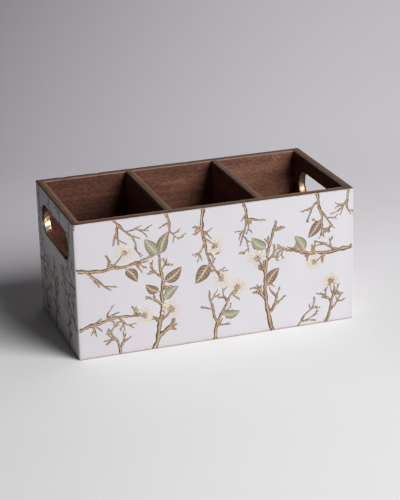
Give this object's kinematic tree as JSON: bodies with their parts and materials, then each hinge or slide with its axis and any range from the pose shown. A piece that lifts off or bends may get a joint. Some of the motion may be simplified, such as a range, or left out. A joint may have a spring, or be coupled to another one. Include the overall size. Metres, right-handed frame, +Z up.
{
  "type": "cutlery organizer",
  "caption": "Open-topped wooden cutlery holder with compartments side by side, a slot-shaped hand hole in each end and a lacquered white botanical print outside.",
  "frame": {"origin": "on the table, under the middle of the box", "axes": "+X along the row of compartments, from the left hand hole to the right one; +Y from the front to the back; +Z up"},
  "size_m": [0.254, 0.1316, 0.123],
  "materials": {
    "board_wood": "bare open-grained reddish-brown wood, matt",
    "white_lacquer": "white printed sheet under clear satin lacquer",
    "brad_steel": "flattened steel wire",
    "rim_paint": "brushed taupe-brown paint",
    "hole_gilding": "glossy gold paint, a little uneven",
    "print_gold": "gold-brown printed line under lacquer",
    "print_leaf": "printed sage and mauve leaves under lacquer"
  },
  "bodies": {
    "root": {"front_panel": "board_wood", "back_panel": "board_wood", "left_end_panel": "board_wood", "right_end_panel": "board_wood", "base_panel": "board_wood", "divider_1": "board_wood", "divider_2": "board_wood", "front_print_sheet": "white_lacquer", "back_print_sheet": "white_lacquer", "left_print_sheet": "white_lacquer", "right_print_sheet": "white_lacquer", "corner_brads": "brad_steel", "divider_brads": "brad_steel", "base_brads": "brad_steel"}
  },
  "joints": []
}
